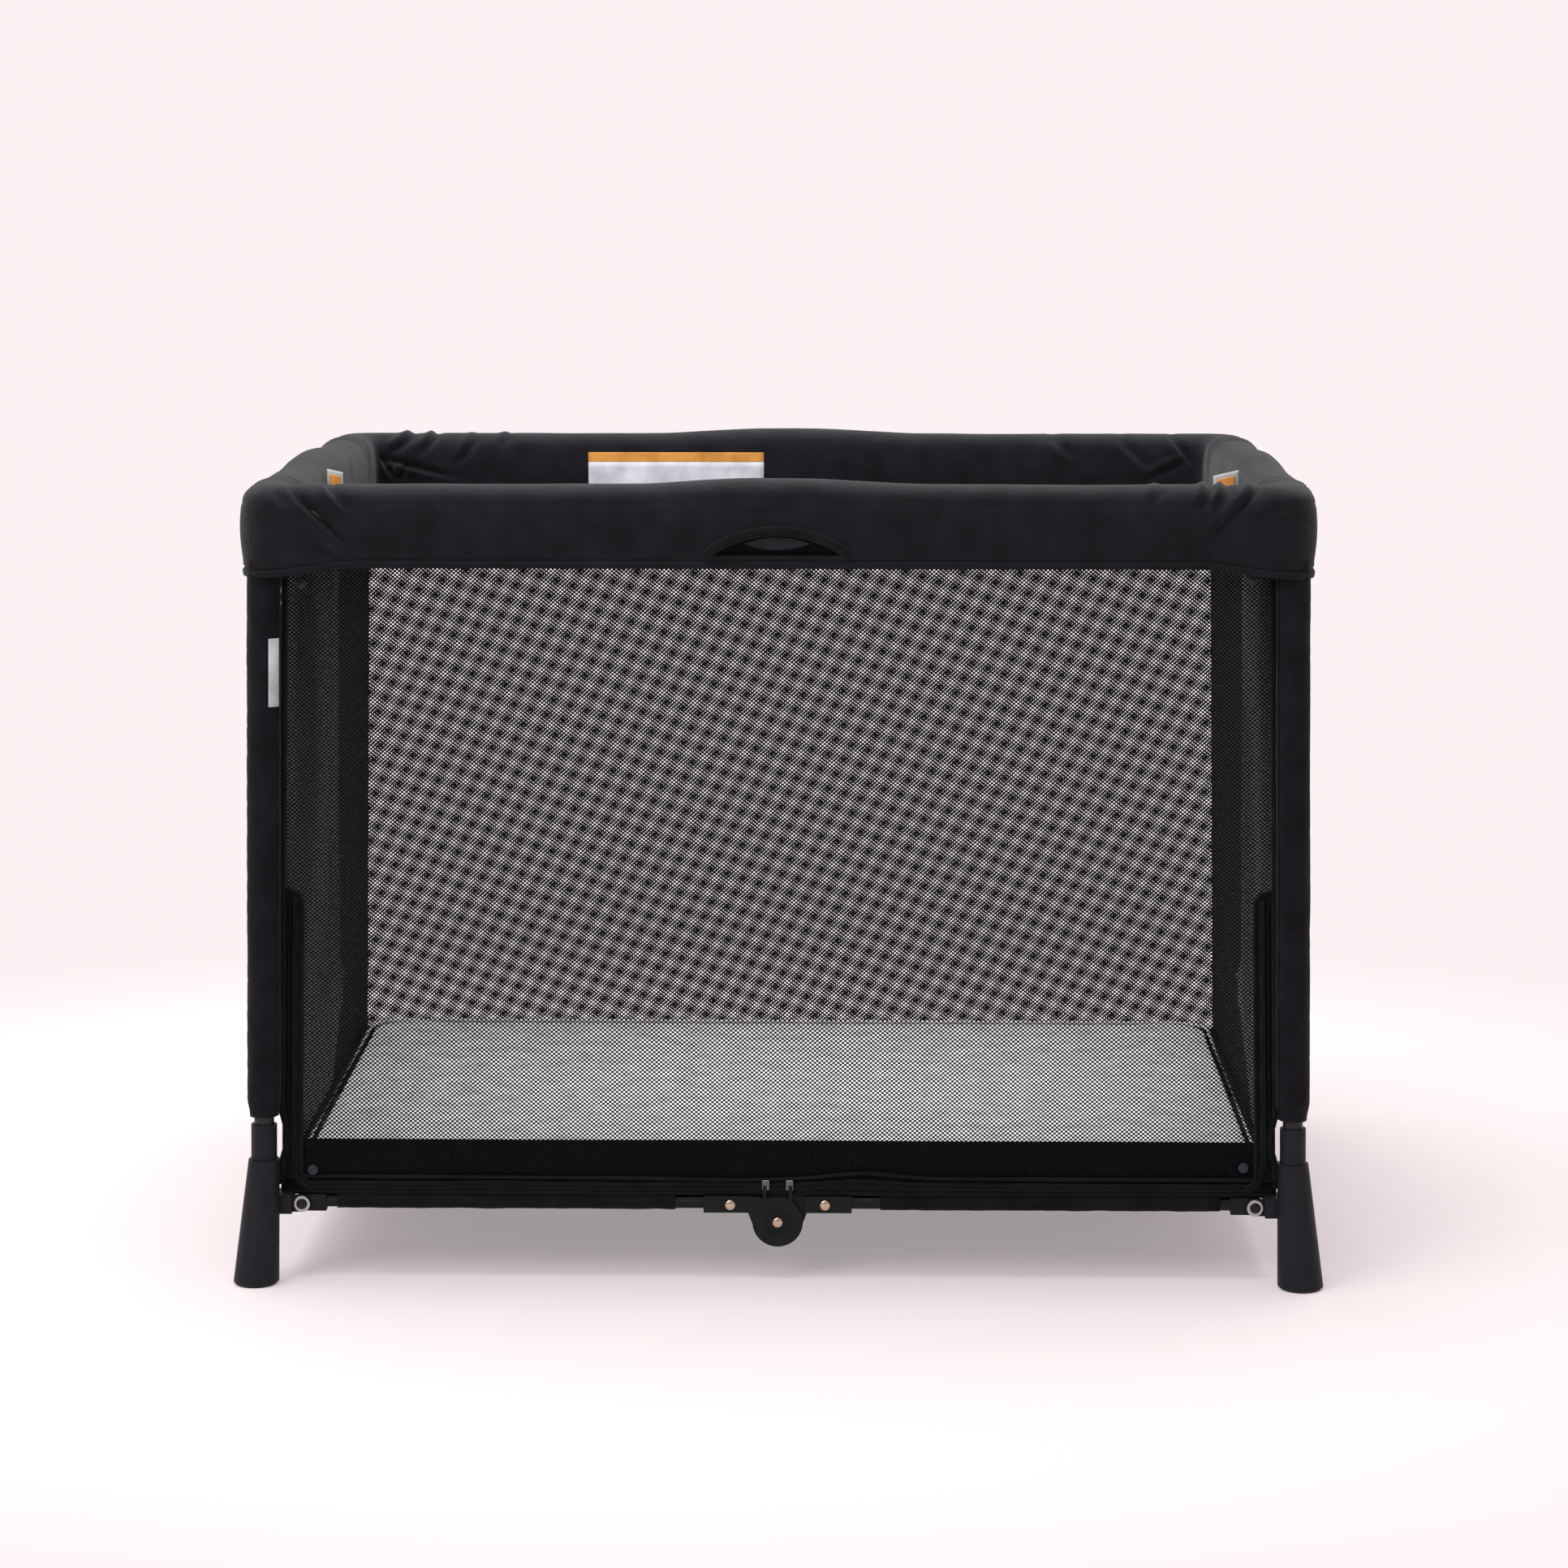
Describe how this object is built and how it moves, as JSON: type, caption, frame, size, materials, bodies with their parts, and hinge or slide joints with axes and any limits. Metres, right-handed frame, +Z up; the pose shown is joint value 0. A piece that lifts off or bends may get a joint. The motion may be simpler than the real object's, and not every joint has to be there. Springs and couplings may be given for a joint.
{
  "type": "playpen",
  "caption": "Folding playpen with padded rails, mesh walls, a zip-down front wall, flared plastic feet and a removable pad",
  "frame": {"origin": "centre of the footprint, on the floor under the feet", "axes": "+X to the right along the long side, -Y towards the front, +Z up"},
  "size_m": [1.1002, 0.8002, 0.8135],
  "materials": {
    "frame_tube": "satin",
    "bolt_steel": "satin",
    "zip_metal": "gloss",
    "sleeve_cloth": "matte",
    "cover_cloth": "matte",
    "wall_mesh": "matte",
    "floor_cloth": "matte",
    "pad_cloth": "matte",
    "button_plastic": "satin",
    "frame_plastic": "matte"
  },
  "bodies": {
    "leg_front_left": {"leg_tube_front_left": "frame_tube", "leg_sleeve_front_left": "sleeve_cloth", "corner_hub_front_left": "frame_plastic", "leg_foot_front_left": "frame_plastic", "rail_bolts_front_left": "bolt_steel", "rail_cover_front": "cover_cloth", "rail_cover_left": "cover_cloth", "wall_front": "wall_mesh", "wall_left": "wall_mesh"},
    "leg_front_right": {"leg_tube_front_right": "frame_tube", "leg_sleeve_front_right": "sleeve_cloth", "corner_hub_front_right": "frame_plastic", "leg_foot_front_right": "frame_plastic", "rail_bolts_front_right": "bolt_steel", "rail_cover_right": "cover_cloth", "wall_right": "wall_mesh"},
    "leg_back_left": {"leg_tube_back_left": "frame_tube", "leg_sleeve_back_left": "sleeve_cloth", "corner_hub_back_left": "frame_plastic", "leg_foot_back_left": "frame_plastic", "rail_bolts_back_left": "bolt_steel", "rail_cover_back": "cover_cloth", "wall_back": "wall_mesh"},
    "leg_back_right": {"leg_tube_back_right": "frame_tube", "leg_sleeve_back_right": "sleeve_cloth", "corner_hub_back_right": "frame_plastic", "leg_foot_back_right": "frame_plastic", "rail_bolts_back_right": "bolt_steel"},
    "top_front_left": {"top_rail_front_left": "frame_tube", "latch_front_left": "frame_plastic"},
    "top_front_right": {"top_rail_front_right": "frame_tube", "latch_front_right": "frame_plastic"},
    "lower_front_left": {"lower_rail_front_left": "frame_plastic"},
    "lower_front_right": {"lower_rail_front_right": "frame_plastic"},
    "top_back_left": {"top_rail_back_left": "frame_tube", "latch_back_left": "frame_plastic"},
    "top_back_right": {"top_rail_back_right": "frame_tube", "latch_back_right": "frame_plastic"},
    "lower_back_left": {"lower_rail_back_left": "frame_plastic"},
    "lower_back_right": {"lower_rail_back_right": "frame_plastic"},
    "top_left_front": {"top_rail_left_front": "frame_tube"},
    "top_left_back": {"top_rail_left_back": "frame_tube"},
    "lower_left_front": {"lower_rail_left_front": "frame_plastic"},
    "lower_left_back": {"lower_rail_left_back": "frame_plastic"},
    "top_right_front": {"top_rail_right_front": "frame_tube"},
    "top_right_back": {"top_rail_right_back": "frame_tube"},
    "lower_right_front": {"lower_rail_right_front": "frame_plastic"},
    "lower_right_back": {"lower_rail_right_back": "frame_plastic"},
    "button_front": {"release_button_front": "button_plastic"},
    "button_back": {"release_button_back": "button_plastic"},
    "button_left": {"release_button_left": "button_plastic"},
    "button_right": {"release_button_right": "button_plastic"},
    "floor": {"floor": "floor_cloth"},
    "mattress": {"mattress": "pad_cloth"},
    "slider_left": {"zip_slider_left": "zip_metal"},
    "slider_right": {"zip_slider_right": "zip_metal"}
  },
  "joints": [
    {"name": "fold", "type": "hinge", "parent": "leg_front_left", "child": "top_front_left", "pos_m": [-0.482, -0.368, 0.778], "axis": [0, 1, 0], "range_deg": [0, 86.4], "deforming": ["rail_cover_front", "rail_cover_back", "rail_cover_left", "rail_cover_right", "wall_front", "wall_back", "wall_left", "wall_right", "floor", "mattress"]},
    {"name": "top_front_middle", "type": "hinge", "parent": "top_front_left", "child": "top_front_right", "pos_m": [0, -0.368, 0.796], "axis": [0, 1, 0], "range_deg": [-172.8, 0]},
    {"name": "leg_front_right_turn", "type": "hinge", "parent": "top_front_right", "child": "leg_front_right", "pos_m": [0.482, -0.368, 0.778], "axis": [0, 1, 0], "range_deg": [0, 86.4]},
    {"name": "top_left_end", "type": "hinge", "parent": "leg_front_left", "child": "top_left_front", "pos_m": [-0.518, -0.332, 0.778], "axis": [-1, 0, 0], "range_deg": [0, 86.4]},
    {"name": "top_left_middle", "type": "hinge", "parent": "top_left_front", "child": "top_left_back", "pos_m": [-0.518, 0, 0.796], "axis": [-1, 0, 0], "range_deg": [-172.8, 0]},
    {"name": "leg_back_left_turn", "type": "hinge", "parent": "top_left_back", "child": "leg_back_left", "pos_m": [-0.518, 0.332, 0.778], "axis": [-1, 0, 0], "range_deg": [0, 86.4]},
    {"name": "top_back_end", "type": "hinge", "parent": "leg_back_left", "child": "top_back_left", "pos_m": [-0.482, 0.368, 0.778], "axis": [0, 1, 0], "range_deg": [0, 86.4]},
    {"name": "top_back_middle", "type": "hinge", "parent": "top_back_left", "child": "top_back_right", "pos_m": [0, 0.368, 0.796], "axis": [0, 1, 0], "range_deg": [-172.8, 0]},
    {"name": "leg_back_right_turn", "type": "hinge", "parent": "top_back_right", "child": "leg_back_right", "pos_m": [0.482, 0.368, 0.778], "axis": [0, 1, 0], "range_deg": [0, 86.4]},
    {"name": "top_right_end", "type": "hinge", "parent": "leg_front_right", "child": "top_right_front", "pos_m": [0.518, -0.332, 0.778], "axis": [-1, 0, 0], "range_deg": [0, 86.4]},
    {"name": "top_right_middle", "type": "hinge", "parent": "top_right_front", "child": "top_right_back", "pos_m": [0.518, 0, 0.796], "axis": [-1, 0, 0], "range_deg": [-172.8, 0]},
    {"name": "lower_front_end", "type": "hinge", "parent": "leg_front_left", "child": "lower_front_left", "pos_m": [-0.482, -0.349, 0.078], "axis": [0, -1, 0], "range_deg": [0, 86.4]},
    {"name": "lower_front_middle", "type": "hinge", "parent": "lower_front_left", "child": "lower_front_right", "pos_m": [0, -0.349, 0.06], "axis": [0, -1, 0], "range_deg": [-172.8, 0]},
    {"name": "lower_back_end", "type": "hinge", "parent": "leg_back_left", "child": "lower_back_left", "pos_m": [-0.482, 0.349, 0.078], "axis": [0, -1, 0], "range_deg": [0, 86.4]},
    {"name": "lower_back_middle", "type": "hinge", "parent": "lower_back_left", "child": "lower_back_right", "pos_m": [0, 0.349, 0.06], "axis": [0, -1, 0], "range_deg": [-172.8, 0]},
    {"name": "lower_left_end", "type": "hinge", "parent": "leg_front_left", "child": "lower_left_front", "pos_m": [-0.499, -0.332, 0.078], "axis": [1, 0, 0], "range_deg": [0, 86.4]},
    {"name": "lower_left_middle", "type": "hinge", "parent": "lower_left_front", "child": "lower_left_back", "pos_m": [-0.499, 0, 0.06], "axis": [1, 0, 0], "range_deg": [-172.8, 0]},
    {"name": "lower_right_end", "type": "hinge", "parent": "leg_front_right", "child": "lower_right_front", "pos_m": [0.499, -0.332, 0.078], "axis": [1, 0, 0], "range_deg": [0, 86.4]},
    {"name": "lower_right_middle", "type": "hinge", "parent": "lower_right_front", "child": "lower_right_back", "pos_m": [0.499, 0, 0.06], "axis": [1, 0, 0], "range_deg": [-172.8, 0]},
    {"name": "floor_tip", "type": "hinge", "parent": "leg_front_left", "child": "floor", "pos_m": [0, -0.302, 0.1005], "axis": [1, 0, 0], "range_deg": [0, 86.4]},
    {"name": "mattress_lift", "type": "slide", "parent": "floor", "child": "mattress", "axis": [0, 0, -1], "range_m": [-0.75, 0]},
    {"name": "button_front_press", "type": "slide", "parent": "top_front_left", "child": "button_front", "axis": [0, 0, 1], "range_m": [0, 0.005], "stiffness_N_per_m": 400, "springref_m": -0.002},
    {"name": "button_back_press", "type": "slide", "parent": "top_back_left", "child": "button_back", "axis": [0, 0, 1], "range_m": [0, 0.005], "stiffness_N_per_m": 400, "springref_m": -0.002},
    {"name": "button_left_press", "type": "slide", "parent": "top_left_front", "child": "button_left", "axis": [0, 0, 1], "range_m": [0, 0.005], "stiffness_N_per_m": 400, "springref_m": -0.002},
    {"name": "button_right_press", "type": "slide", "parent": "top_right_front", "child": "button_right", "axis": [0, 0, 1], "range_m": [0, 0.005], "stiffness_N_per_m": 400, "springref_m": -0.002},
    {"name": "zip_left", "type": "slide", "parent": "lower_front_left", "child": "slider_left", "axis": [-1, 0, 0], "range_m": [0, 0.44]},
    {"name": "zip_right", "type": "slide", "parent": "lower_front_right", "child": "slider_right", "axis": [1, 0, 0], "range_m": [0, 0.44]}
  ],
  "couplings": [
    {"joint": "top_front_middle", "follows": "fold", "ratio": -2},
    {"joint": "leg_front_right_turn", "follows": "fold", "ratio": 1},
    {"joint": "top_left_end", "follows": "fold", "ratio": 1},
    {"joint": "top_left_middle", "follows": "fold", "ratio": -2},
    {"joint": "leg_back_left_turn", "follows": "fold", "ratio": 1},
    {"joint": "top_back_end", "follows": "fold", "ratio": 1},
    {"joint": "top_back_middle", "follows": "fold", "ratio": -2},
    {"joint": "leg_back_right_turn", "follows": "fold", "ratio": 1},
    {"joint": "top_right_end", "follows": "fold", "ratio": 1},
    {"joint": "top_right_middle", "follows": "fold", "ratio": -2},
    {"joint": "lower_front_end", "follows": "fold", "ratio": 1},
    {"joint": "lower_front_middle", "follows": "fold", "ratio": -2},
    {"joint": "lower_back_end", "follows": "fold", "ratio": 1},
    {"joint": "lower_back_middle", "follows": "fold", "ratio": -2},
    {"joint": "lower_left_end", "follows": "fold", "ratio": 1},
    {"joint": "lower_left_middle", "follows": "fold", "ratio": -2},
    {"joint": "lower_right_end", "follows": "fold", "ratio": 1},
    {"joint": "lower_right_middle", "follows": "fold", "ratio": -2},
    {"joint": "floor_tip", "follows": "fold", "ratio": 1}
  ]
}
